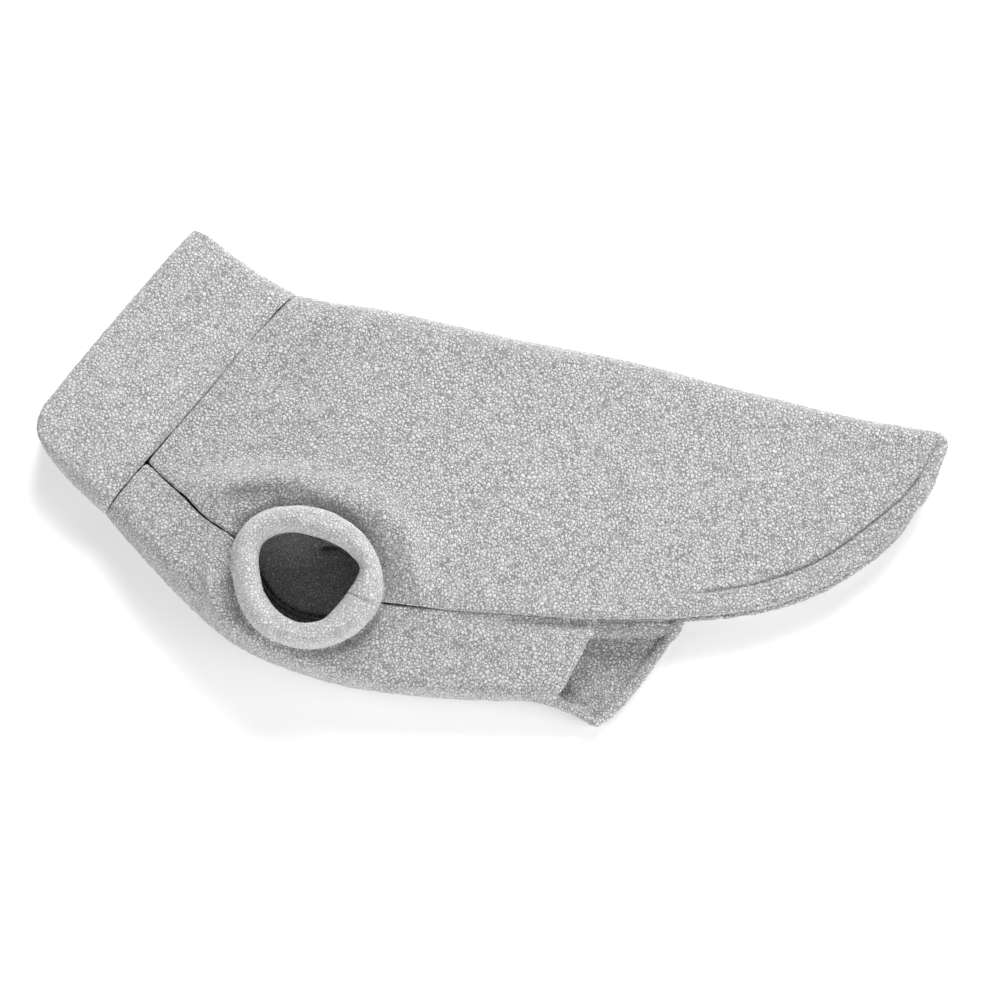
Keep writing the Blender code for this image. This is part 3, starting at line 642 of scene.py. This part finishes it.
# ---------------------------------------------------------------- chest and belly panel
# One piece of the same fleece from the neck seam, between the front legs, to the belly. It is folded along the
# belly line and sewn to the back panel on both sides. Its rear edge is turned in and lies loose.

BELLY_COLUMNS = 250
BELLY_HEM = 0.006
BELLY_HEM_THICK = 0.005
SEAM_GAP = 0.0005
SEAM_LAP = 0.002

BELLY_FOLD = [plan(*p) for p in ((-0.289, 0.546), (-0.215, 0.678), (-0.136, 0.803), (-0.066, 0.883),
                                 (0.041, 0.946), (0.138, 0.978), (0.309, 0.998), (0.401, 1.0))]
BELLY_ENDS = {
    NEAR: [plan(*p) for p in ((0.467, 0.808), (0.447, 0.868), (0.423, 0.943), (0.401, 1.0))],
    FAR: [plan(*p) for p in ((0.603, 0.8), (0.555, 0.9), (0.511, 0.993), (0.463, 1.067))]}
BELLY_FOLDS = {NEAR: BELLY_FOLD, FAR: BELLY_FOLD + [plan(0.463, 1.067)]}
BELLY_REACH = {NEAR: near_belly_end, FAR: far_belly_end}
lap_from, lap_to = (share_along(BACK_EDGE, plan(*p)) for p in ((0.134, 0.771), (0.467, 0.808)))


def belly_seam(side, u):
    """The panel's sewn edge: it meets the back panel along the shoulder and laps under it along the side."""
    at = BELLY_REACH[side] * np.asarray(u, float)
    step = curve_through(BACK_EDGE, np.clip(at + 0.01, 0, 1)) - curve_through(BACK_EDGE, np.clip(at - 0.01, 0, 1))
    outward = np.column_stack([step[:, 1], -step[:, 0]])
    outward /= np.linalg.norm(outward, axis=1, keepdims=True)
    lap = smooth((at - lap_from) / (lap_to - lap_from))
    return curve_through(BACK_EDGE, at) + outward * (SEAM_GAP - lap * (SEAM_GAP + SEAM_LAP))[:, None]


def belly_half(side, at, arc_steps, flat_steps):
    def seam(u):
        return belly_seam(side, u)

    def fold(u):
        return curve_through(BELLY_FOLDS[side], u)

    neck_start, neck_end, rear_start = seam([0.0]), fold([0.0]), seam([1.0])[0]
    rear = [rear_start] + BELLY_ENDS[side][1:]
    width = np.linalg.norm(fold(at) - seam(at), axis=1)
    radius = fold_radius(fold(at))
    v = []
    for w, r in zip(width, radius):
        arc = r * (1 - np.cos(np.linspace(0, math.pi / 2, arc_steps + 1)))
        flat = np.linspace(arc[-1], w - EDGE_INSET, flat_steps + 1)[1:]
        v.append(1 - np.concatenate([arc, flat]) / w)
    v = np.array(v)
    xy = patch(seam, fold, lambda t: neck_start + np.asarray(t)[:, None] * (neck_end - neck_start),
               lambda t: curve_through(rear, t), np.repeat(at[:, None], v.shape[1], axis=1), v)
    from_fold = (1 - v) * width[:, None]
    from_seam = v * width[:, None]
    lap = smooth((BELLY_REACH[side] * at - lap_from) / (lap_to - lap_from))[:, None] * (FLEECE + SEAM_GAP)
    under = lap * (1 - smooth((from_seam - SEAM_LAP - 0.001) / 0.009))
    z = outside_height(xy, side, from_fold) - side * under
    from_rear = distance_to(rear, xy)
    if side == NEAR:
        z = z - neck_dip(xy) + 0.0007 * np.exp(-((from_rear - 0.0035) / 0.003) ** 2)
    z[:, 0] = radius
    thick = FLEECE + (BELLY_HEM_THICK - FLEECE) * (1 - smooth((from_rear - BELLY_HEM + 0.002) / 0.002))
    return np.dstack([xy, z, thick])


def belly_grid():
    at = np.linspace(0.0054, 0.9905, BELLY_COLUMNS + 1)
    arc_steps = 10
    near = belly_half(NEAR, at, arc_steps, 74)
    far = belly_half(FAR, at, arc_steps, 66)
    share = ((1 + smooth(np.linspace(0, 2.2, arc_steps + 1))) / 2)[None, :, None]
    a, b = near[:, :arc_steps + 1, :2].copy(), far[:, :arc_steps + 1, :2].copy()
    near[:, :arc_steps + 1, :2] = share * a + (1 - share) * b
    far[:, :arc_steps + 1, :2] = share * b + (1 - share) * a
    return np.concatenate([near[:, ::-1], far[:, 1:]], axis=1)


belly_points = belly_grid()
belly = sheet_mesh("fleece_belly_panel", belly_points[..., :3], belly_points[..., 3], coarse=1)
cut_hole(belly, left_hole, 2 * FOLD_AT_TAIL, 0.2)
cut_hole(belly, right_hole, -0.05, 2 * FOLD_AT_TAIL)
belly.data.materials.clear()
belly.data.materials.append(body_fleece)
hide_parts("chest_belly_panel")
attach(belly, "garment")


# ---------------------------------------------------------------- turtleneck collar
# A strip of fleece closed into a ring and folded double along the opening, so that it stands thick and round.
# Both of its raw edges are sewn into the neck seam.

PLY_GAP = 0.0006
COLLAR_HEIGHT = 0.058
COLLAR_TOP = ((0, 0), (0.03, 0.45), (0.038, 0.86))  # shares along the neck and of the height
COLLAR_BOTTOM = ((1, 0), (0.992, 0.4), (0.968, 0.75))
COLLAR_OPENING = ((0.038, 0.86), (0.05, 0.97), (0.09, 1.02), (0.42, 1.02), (0.8, 0.99), (0.89, 0.95),
                  (0.945, 0.86), (0.968, 0.75))


def collar_plan(along, out):
    return NECK_TOP + along * NECK_LENGTH * ALONG_NECK - out * COLLAR_HEIGHT * INTO_BODY


def collar_rings(shares, near_steps=120, far_steps=80, arc_steps=9):
    """Rings round the neck at shares of the way from the seam to the opening."""
    top = [collar_plan(*s) for s in COLLAR_TOP]
    bottom = [collar_plan(*s) for s in COLLAR_BOTTOM]
    opening = [collar_plan(*s) for s in COLLAR_OPENING]
    starts, ends = curve_through(top, shares), curve_through(bottom, shares)
    width = np.linalg.norm(ends - starts, axis=1)
    r = FOLD_AT_NECK
    halves = []
    for steps in (near_steps, far_steps):
        arc = r * (1 - np.cos(np.linspace(0, math.pi / 2, arc_steps + 1)))
        d = np.array([np.concatenate([arc, np.linspace(r, w - r, steps + 1)[1:-1], w - arc[::-1]]) for w in width])
        v = d / width[:, None]
        xy = patch(lambda u: curve_through(top, u), lambda u: curve_through(bottom, u),
                   lambda t: top[0] + np.asarray(t)[:, None] * (bottom[0] - top[0]),
                   lambda t: curve_through(opening, t), np.repeat(np.asarray(shares)[:, None], v.shape[1], 1), v)
        from_fold = np.minimum(d, width[:, None] - d)
        rounding = np.sqrt(np.maximum(0, 1 - (1 - np.clip(from_fold / r, 0, 1)) ** 2))
        halves.append((xy, rounding))
    out = -((halves[0][0] - NECK_TOP) @ INTO_BODY)
    swell = 0.0008 * np.sin(math.pi * np.clip(out / COLLAR_HEIGHT, 0, 1))
    pinch = SEAM_DIP * np.exp(-(out / SEAM_DIP_REACH) ** 2) - swell
    near = np.dstack([halves[0][0], r * (1 + halves[0][1]) - pinch * halves[0][1]])
    far = np.dstack([halves[1][0], r * (1 - halves[1][1])])
    return np.concatenate([near, far[:, -2:0:-1]], axis=1)


def ring_mesh(name, rings, shown, seed=3.0):
    """A closed body from rings that are closed round and joined last to first. shown is 1 for a ring with pile."""
    rings = np.asarray(rings)
    along = (np.roll(rings, -1, 0) - np.roll(rings, 1, 0)) / 2
    round_ = (np.roll(rings, -1, 1) - np.roll(rings, 1, 1)) / 2
    normal = np.cross(along, round_)
    normal /= np.maximum(np.linalg.norm(normal, axis=2, keepdims=True), 1e-12)
    volume = float((rings * normal).sum())
    if volume < float(((rings - normal * 1e-3) * normal).sum()):
        normal = -normal
    rings = rings + normal * (pile_height(rings, seed=seed) * PILE * np.asarray(shown)[:, None])[..., None]
    n, m = rings.shape[:2]
    faces = [(i * m + j, i * m + (j + 1) % m, ((i + 1) % n) * m + (j + 1) % m, ((i + 1) % n) * m + j)
             for i in range(n) for j in range(m)]
    return link_mesh(name, rings.reshape(-1, 3), faces)


def folded_band():
    """The collar's rings: outside, round the opening, inside, and the two raw edges with the slot between."""
    band = 2 * FLEECE + PLY_GAP
    shares = np.linspace(0.00135 / COLLAR_HEIGHT, 1 - band / 2 / COLLAR_HEIGHT, 52)
    outside = collar_rings(shares)
    towards = np.cross(np.gradient(outside, axis=0), np.roll(outside, -1, 1) - np.roll(outside, 1, 1))
    towards /= np.linalg.norm(towards, axis=2, keepdims=True)
    if towards[20, 60, 2] > 0:
        towards = -towards
    axis = np.array([*-INTO_BODY, 0.0])
    rings, shown = list(outside), [1] * len(outside)
    for k in range(1, 9):
        turn = math.pi * k / 9
        rings.append(outside[-1] + towards[-1] * band * (1 - math.cos(turn)) / 2 + axis * band / 2 * math.sin(turn))
        shown.append(1)
    for i in range(len(outside) - 1, -1, -2):
        rings.append(outside[i] + towards[i] * band)
        shown.append(1)

    def raw_edge(depth_from, depth_to):
        for k in range(1, 5):
            turn = math.pi * k / 5
            middle, half = (depth_from + depth_to) / 2, (depth_from - depth_to) / 2
            rings.append(outside[0] + towards[0] * (middle + half * math.cos(turn))
                         - axis * abs(half) * math.sin(turn))
            shown.append(1)

    raw_edge(band, FLEECE + PLY_GAP)
    for i in range(0, len(outside), 6):
        rings.append(outside[i] + towards[i] * (FLEECE + PLY_GAP))
        shown.append(0)
    for i in range(len(outside) - 6, 0, -6):
        rings.append(outside[i] + towards[i] * FLEECE)
        shown.append(0)
    raw_edge(FLEECE, 0)
    return np.array(rings), shown


collar = ring_mesh("fleece_collar", *folded_band())
# second colour: painted shade in the crevices between the nubs
collar_fleece = fleece_material("light grey fleece, collar", (0.78, 0.78, 0.785), (0.25, 0.25, 0.253))
collar.data.materials.append(collar_fleece)
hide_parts("collar")
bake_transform(collar)


# ---------------------------------------------------------------- leg cuffs
# Each is a strip of fleece closed into a ring, folded double and sewn into its armhole. The left one stands up,
# rolled and plump. The right one is pressed flat under the garment, and drawn so wide that it almost closes.

CUFF_BAND = 0.012
CUFF_STANDS = 0.014
CUFF_SINKS = 0.009
LEFT_CUFF_HOLE = [plan(*p) for p in (
    (-0.0464, 0.685), (-0.0427, 0.646), (-0.0278, 0.620), (0.0021, 0.611), (0.0321, 0.6207), (0.0620, 0.6373),
    (0.0874, 0.6608), (0.1053, 0.6935), (0.1024, 0.7191), (0.0919, 0.7446), (0.0696, 0.791), (0.0472, 0.8188),
    (0.0173, 0.8244), (-0.0021, 0.8138), (-0.0246, 0.7856), (-0.0396, 0.7436))]


def by_angle(points, centre, angles):
    """A closed curve through points, taken at angles round a centre."""
    line = curve_through(list(points) + [points[0]], np.linspace(0, 1, 400, endpoint=False)) - centre
    angle = np.unwrap(np.arctan2(line[:, 1], line[:, 0]))
    if angle[-1] < angle[0]:
        line, angle = line[::-1], angle[::-1]
    angle, size = angle - 2 * math.pi, np.linalg.norm(line, axis=1)
    angle = np.concatenate([angle, angle + 2 * math.pi, angle + 4 * math.pi])
    size = np.tile(size, 3)
    r = np.interp(angles, angle, size)
    return centre + np.column_stack([np.cos(angles), np.sin(angles)]) * r[:, None]


left_low, left_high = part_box("left_leg_cuff")
seat_rim = oval(LEFT_LEG, (left_high.x - left_low.x) / 2, (left_high.y - left_low.y) / 2)
seat_heights = 2 * fold_radius(seat_rim) + belly_swell(seat_rim)
cuff_level, *_ = np.linalg.lstsq(np.column_stack([np.ones(len(seat_rim)), seat_rim]), seat_heights, rcond=None)


def left_cuff_rings(columns=240):
    angles = np.linspace(-math.pi, math.pi, columns, endpoint=False)
    outer = by_angle(LEFT_CUFF_RIM, LEFT_LEG, angles)
    inner = by_angle(LEFT_CUFF_HOLE, LEFT_LEG, angles)
    across = inner - outer
    width = np.linalg.norm(across, axis=1)[:, None]
    level = (cuff_level[0] + outer @ cuff_level[1:])[:, None]
    top, half = CUFF_STANDS, CUFF_BAND / 2
    profile = [(0.16, -CUFF_SINKS), (0.12, -0.0075), (0.08, -0.006), (0.055, -0.0045), (0.035, -0.003),
               (0.018, -0.0015), (0.006, 0), (0, 0.0015), (-0.004, 0.003), (-0.006, 0.0045)]
    start = 0.006
    profile += [(0.5 - 0.506 * math.cos(a), start + (top - start) * math.sin(a))
                for a in np.linspace(0, math.pi, 24)]
    profile += [(1.0 - 0.012 * k, start - (start + CUFF_SINKS) * k / 12) for k in range(1, 13)]
    closing = math.radians(-24)
    groove = 0.0010 * np.exp(-((angles - closing) * 0.036 / 0.0008) ** 2)[:, None]
    outline = np.array([np.hstack([outer + across * share, level + up - groove * (up > 0)])
                        for share, up in profile])
    towards = np.cross(np.gradient(outline, axis=0), np.roll(outline, -1, 1) - np.roll(outline, 1, 1))
    towards /= np.linalg.norm(towards, axis=2, keepdims=True)
    if towards[21, 0, 2] > 0:
        towards = -towards
    rings, shown = list(outline), [1] * len(outline)
    down = np.array([0, 0, -1.0])
    last, first = outline[-1], outline[0]
    for k in (1, 2, 3):
        turn = math.pi * k / 4
        rings.append(last + towards[-1] * FLEECE * (1 - math.cos(turn)) / 2 + down * FLEECE / 2 * math.sin(turn))
        shown.append(1)
    for i in range(len(outline) - 1, -1, -3):
        rings.append(outline[i] + towards[i] * FLEECE)
        shown.append(0)
    if (len(outline) - 1) % 3:
        rings.append(first + towards[0] * FLEECE)
        shown.append(0)
    for k in (3, 2, 1):
        turn = math.pi * k / 4
        rings.append(first + towards[0] * FLEECE * (1 - math.cos(turn)) / 2 + down * FLEECE / 2 * math.sin(turn))
        shown.append(1)
    return np.array(rings), shown


# second colour: painted shade in the crevices between the nubs
cuff_fleece = fleece_material("light grey fleece, cuffs", (0.88, 0.88, 0.884), (0.40, 0.40, 0.403), 680)
left_cuff = ring_mesh("fleece_left_cuff", *left_cuff_rings())
left_cuff.data.materials.append(cuff_fleece)
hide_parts("left_leg_cuff")
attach(left_cuff, "garment")


FLAT_BAND = 0.0325  # the pressed band's width, which leaves almost no opening


def right_cuff_rings(columns=200):
    """The flattened band: two plies joined round the opening, open where they meet the armhole."""
    turn = np.linspace(0, 2 * math.pi, columns, endpoint=False)
    rim = oval(RIGHT_LEG, right_size.x, right_size.y, columns)
    inward = -np.column_stack([np.cos(turn), np.sin(turn)])
    thick = 2 * FLEECE + PLY_GAP
    half = FLEECE / 2
    steps = int((FLAT_BAND - thick / 2 - half) / 0.0012)
    profile = [(half + k * 0.0012, 0) for k in range(steps)]
    profile += [(FLAT_BAND - thick / 2 + math.sin(a) * thick / 2, thick / 2 - math.cos(a) * thick / 2)
                for a in np.linspace(0, math.pi, 10)]
    profile += [(half + k * 0.0012, thick) for k in range(steps - 1, -1, -1)]
    profile += [(half - half * math.sin(a), thick - half + half * math.cos(a))
                for a in np.linspace(0, math.pi, 5)[1:-1]]
    profile += [(half, FLEECE + PLY_GAP), (FLAT_BAND - thick / 2, FLEECE + PLY_GAP),
                (FLAT_BAND - thick / 2, FLEECE), (half, FLEECE)]
    profile += [(half - half * math.sin(a), half + half * math.cos(a)) for a in np.linspace(0, math.pi, 5)[1:-1]]
    shown = [0 if abs(z - thick / 2) < 0.0004 and x > half else 1 for x, z in profile]
    return np.array([np.column_stack([rim + inward * x, np.full(columns, z)]) for x, z in profile]), shown


right_cuff = ring_mesh("fleece_right_cuff", *right_cuff_rings())
right_cuff.data.materials.append(cuff_fleece)
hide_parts("right_leg_cuff")
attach(right_cuff, "garment")


# ---------------------------------------------------------------- hem stitches
# The turned edges are held by one row of lockstitch in grey polyester thread, 2.6 mm a stitch. The thread sinks
# into the pile, so that the row shows as a groove with a little thread in it.

STITCH_LENGTH = 0.0026
STITCH_RADIUS = 0.00035
STITCH_SINKS = 0.0002
BELLY_STITCH_IN = 0.0055  # from the belly panel's rear edge


def thread_material():
    """Spun polyester: fine twist across the thread, a soft shine."""
    material = bpy.data.materials.new("grey polyester thread")
    material.use_nodes = True
    nodes, links = material.node_tree.nodes, material.node_tree.links
    shader = nodes["Principled BSDF"]
    where = nodes.new("ShaderNodeTexCoord")
    twist = nodes.new("ShaderNodeTexWave")
    twist.bands_direction = "DIAGONAL"
    twist.inputs["Scale"].default_value = 900
    twist.inputs["Distortion"].default_value = 1.2
    links.new(where.outputs["Object"], twist.inputs["Vector"])
    fuzz = nodes.new("ShaderNodeTexNoise")
    fuzz.inputs["Scale"].default_value = 2500
    links.new(where.outputs["Object"], fuzz.inputs["Vector"])
    tone = nodes.new("ShaderNodeMix")
    tone.data_type = "RGBA"
    tone.inputs[6].default_value = (0.16, 0.16, 0.163, 1)
    tone.inputs[7].default_value = (0.36, 0.36, 0.365, 1)
    links.new(twist.outputs["Fac"], tone.inputs[0])
    links.new(tone.outputs[2], shader.inputs["Base Color"])
    bump = nodes.new("ShaderNodeBump")
    bump.inputs["Strength"].default_value = 0.6
    bump.inputs["Distance"].default_value = 0.0001
    links.new(fuzz.outputs["Fac"], bump.inputs["Height"])
    links.new(bump.outputs["Normal"], shader.inputs["Normal"])
    shader.inputs["Roughness"].default_value = 0.6
    shader.inputs["Sheen Weight"].default_value = 0.2
    return material


def stitch_tree():
    """Geometry nodes: a run of edges in, a row of stitches along it out."""
    tree = bpy.data.node_groups.new("row of stitches", "GeometryNodeTree")
    tree.interface.new_socket("Geometry", in_out="INPUT", socket_type="NodeSocketGeometry")
    for name, kind in (("Stitch length", "NodeSocketFloat"), ("Thread radius", "NodeSocketFloat"),
                       ("Thread", "NodeSocketMaterial")):
        tree.interface.new_socket(name, in_out="INPUT", socket_type=kind)
    tree.interface.new_socket("Geometry", in_out="OUTPUT", socket_type="NodeSocketGeometry")
    nodes, links = tree.nodes, tree.links
    enter, leave = nodes.new("NodeGroupInput"), nodes.new("NodeGroupOutput")
    path = nodes.new("GeometryNodeMeshToCurve")
    links.new(enter.outputs["Geometry"], path.inputs["Mesh"])
    even = nodes.new("GeometryNodeResampleCurve")
    even.mode = "LENGTH"
    links.new(path.outputs["Curve"], even.inputs["Curve"])
    links.new(enter.outputs["Stitch length"], even.inputs["Length"])
    bead = nodes.new("GeometryNodeMeshUVSphere")
    bead.inputs["Segments"].default_value = 6
    bead.inputs["Rings"].default_value = 5
    bead.inputs["Radius"].default_value = 1.0
    half = nodes.new("ShaderNodeMath")
    half.operation = "MULTIPLY"
    half.inputs[1].default_value = 0.46
    links.new(enter.outputs["Stitch length"], half.inputs[0])
    size = nodes.new("ShaderNodeCombineXYZ")
    links.new(enter.outputs["Thread radius"], size.inputs["X"])
    links.new(enter.outputs["Thread radius"], size.inputs["Y"])
    links.new(half.outputs["Value"], size.inputs["Z"])
    stitch = nodes.new("GeometryNodeTransform")
    links.new(bead.outputs["Mesh"], stitch.inputs["Geometry"])
    links.new(size.outputs["Vector"], stitch.inputs["Scale"])
    tangent = nodes.new("GeometryNodeInputTangent")
    turn = nodes.new("FunctionNodeAlignRotationToVector")
    turn.axis = "Z"
    links.new(tangent.outputs["Tangent"], turn.inputs["Vector"])
    place = nodes.new("GeometryNodeInstanceOnPoints")
    links.new(even.outputs["Curve"], place.inputs["Points"])
    links.new(stitch.outputs["Geometry"], place.inputs["Instance"])
    links.new(turn.outputs["Rotation"], place.inputs["Rotation"])
    real = nodes.new("GeometryNodeRealizeInstances")
    links.new(place.outputs["Instances"], real.inputs["Geometry"])
    paint = nodes.new("GeometryNodeSetMaterial")
    links.new(real.outputs["Geometry"], paint.inputs["Geometry"])
    links.new(enter.outputs["Thread"], paint.inputs["Material"])
    links.new(paint.outputs["Geometry"], leave.inputs["Geometry"])
    return tree


STITCH_TREE = stitch_tree()
thread_paint = thread_material()


def stitches(name, runs):
    """A plain mesh of the stitches along each run of points."""
    points, edges = [], []
    for run in runs:
        edges += [(len(points) + k, len(points) + k + 1) for k in range(len(run) - 1)]
        points += [tuple(p) for p in run]
    mesh = bpy.data.meshes.new(name)
    mesh.from_pydata(points, edges, [])
    piece = bpy.data.objects.new(name, mesh)
    bpy.context.scene.collection.objects.link(piece)
    row = piece.modifiers.new("row of stitches", "NODES")
    row.node_group = STITCH_TREE
    sockets = {item.name: item.identifier for item in STITCH_TREE.interface.items_tree if item.in_out == "INPUT"}
    row[sockets["Stitch length"]] = STITCH_LENGTH
    row[sockets["Thread radius"]] = STITCH_RADIUS
    row[sockets["Thread"]] = thread_paint
    bpy.context.view_layer.update()
    sewn = bpy.data.meshes.new_from_object(piece.evaluated_get(bpy.context.evaluated_depsgraph_get()))
    piece.modifiers.remove(row)
    piece.data = sewn
    sewn.shade_smooth()
    return piece


def moved_in(points, by):
    """Plan points moved to the left of their path by a distance, or by one for each point."""
    step = np.gradient(points, axis=0)
    left = np.column_stack([-step[:, 1], step[:, 0]])
    left /= np.linalg.norm(left, axis=1, keepdims=True)
    return points + left * np.broadcast_to(by, len(points))[:, None]


def on_cloth(piece, points, side):
    """The plan points dropped on the cloth from above, or raised to it from below."""
    run = []
    for x, y in points:
        hit, where, *_ = piece.ray_cast(Vector((x, y, 0.1 * side)), Vector((0, 0, -side)))
        if hit:
            run.append((x, y, where.z - side * STITCH_SINKS))
    return run


def hem_runs():
    runs = []
    for side, start in ((NEAR, near_belly_end + 0.06), (FAR, far_belly_end + 0.03)):
        edge = np.vstack([curve_through(BACK_EDGE, np.linspace(start, 1, 90)),
                          curve_through(TAIL_END[::-1], np.linspace(0, 0.86, 24))[1:]])
        runs.append(on_cloth(back, moved_in(edge, hem_width(edge)), side))
    return runs


bpy.context.view_layer.update()
hem_stitches = stitches("hem_stitches", hem_runs())
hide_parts("back_hem_thread")
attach(hem_stitches, "garment")

rear_runs = []
for side, start, end in ((NEAR, 0.12, 0.9), (FAR, 0.1, 0.9)):
    line = curve_through(BELLY_ENDS[side], np.linspace(start, end, 40))
    rear_runs.append(on_cloth(belly, moved_in(line, -BELLY_STITCH_IN), NEAR))
belly_stitches = stitches("belly_hem_stitches", rear_runs)
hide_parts("belly_hem_thread")
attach(belly_stitches, "garment")


# ---------------------------------------------------------------- seam threads
# The same thread runs inside every seam: round the neck, along the shoulders and sides, round the armholes, and
# across the collar and the cuffs where their strips are closed. It shows only from inside.

for name in ("collar_seam_thread", "collar_closing_thread", "left_shoulder_seam_thread",
             "right_shoulder_seam_thread", "left_side_seam_thread", "right_side_seam_thread",
             "left_armhole_seam_thread", "right_armhole_seam_thread", "left_cuff_closing_thread",
             "right_cuff_closing_thread"):
    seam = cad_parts[name]
    seam.data.materials.clear()
    seam.data.materials.append(thread_paint)
